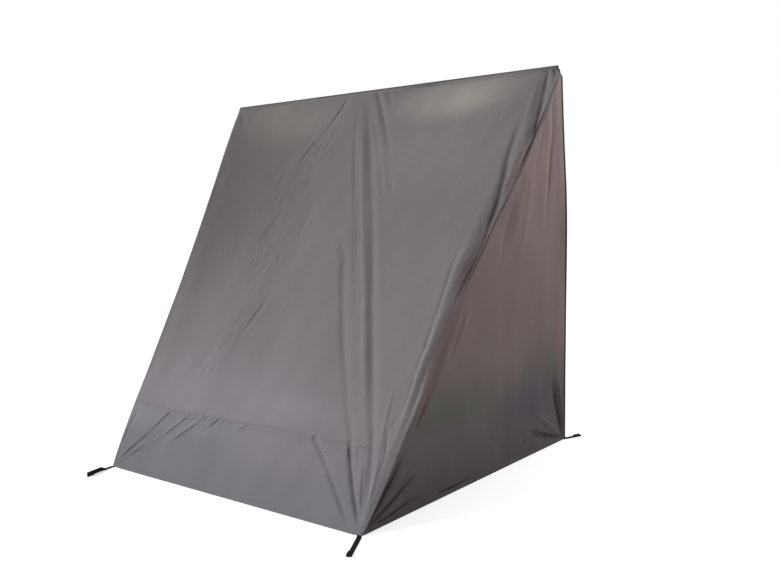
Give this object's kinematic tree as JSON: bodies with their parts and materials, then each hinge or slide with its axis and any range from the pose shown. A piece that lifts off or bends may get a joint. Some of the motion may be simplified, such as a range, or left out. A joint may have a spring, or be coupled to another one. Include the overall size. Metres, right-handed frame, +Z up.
{
  "type": "luggage canopy",
  "caption": "Sloping cloth lean-to that hangs from a rail on a vehicle's end wall by a beaded edge and is held at its ground corners by webbing loops.",
  "frame": {"origin": "on the ground, at the centre of the whole canopy's box in x and y", "axes": "+X to the right seen from the front, along the rail; +Y towards the vehicle's wall; +Z up. The wall plane is at y = 0.7011"},
  "size_m": [2.1902, 1.562, 1.808],
  "materials": {
    "front_cloth": "thin coated polyester, slightly satin, mid grey",
    "band_cloth": "thin coated polyester, slightly satin, cooler grey",
    "side_cloth": "thin coated polyester, slightly satin, warm dark grey",
    "edge_binding": "matt near-black binding tape",
    "seam_tape": "matt grey woven tape",
    "webbing": "matt black woven webbing",
    "keder_core": "white extruded cord"
  },
  "bodies": {
    "canopy": {"front_upper_panel": "front_cloth", "front_lower_band": "band_cloth", "cross_seam_tape": "seam_tape", "front_hem": "band_cloth", "keder_core": "keder_core", "keder_tape": "seam_tape", "side_panel_left": "side_cloth", "corner_seam_left": "seam_tape", "wall_edge_binding_left": "edge_binding", "side_hem_left": "side_cloth", "corner_patch_front_left": "band_cloth", "corner_patch_rear_left": "side_cloth", "side_panel_right": "side_cloth", "corner_seam_right": "seam_tape", "wall_edge_binding_right": "edge_binding", "side_hem_right": "side_cloth", "corner_patch_front_right": "band_cloth", "corner_patch_rear_right": "side_cloth", "peg_loop_tail_front_left": "webbing", "peg_loop_tail_front_right": "webbing", "peg_loop_tail_rear_left": "webbing", "peg_loop_tail_rear_right": "webbing"},
    "loop_front_left": {"peg_loop_front_left": "webbing"},
    "loop_front_right": {"peg_loop_front_right": "webbing"},
    "loop_rear_left": {"peg_loop_rear_left": "webbing"},
    "loop_rear_right": {"peg_loop_rear_right": "webbing"}
  },
  "joints": [
    {"name": "front_left_loop_lift", "type": "hinge", "parent": "canopy", "child": "loop_front_left", "pos_m": [-0.736, -0.63848, 0.0012], "axis": [-1, 0, 0], "range_deg": [0, 110]},
    {"name": "front_right_loop_lift", "type": "hinge", "parent": "canopy", "child": "loop_front_right", "pos_m": [0.736, -0.64206, 0.0012], "axis": [-0.9336, -0.3584, 0], "range_deg": [0, 110]},
    {"name": "rear_left_loop_lift", "type": "hinge", "parent": "canopy", "child": "loop_rear_left", "pos_m": [-1.04102, 0.70974, 0.0012], "axis": [0.8192, 0.5736, 0], "range_deg": [0, 90]},
    {"name": "rear_right_loop_lift", "type": "hinge", "parent": "canopy", "child": "loop_rear_right", "pos_m": [1.04102, 0.70974, 0.0012], "axis": [0.8192, -0.5736, 0], "range_deg": [0, 90]}
  ]
}
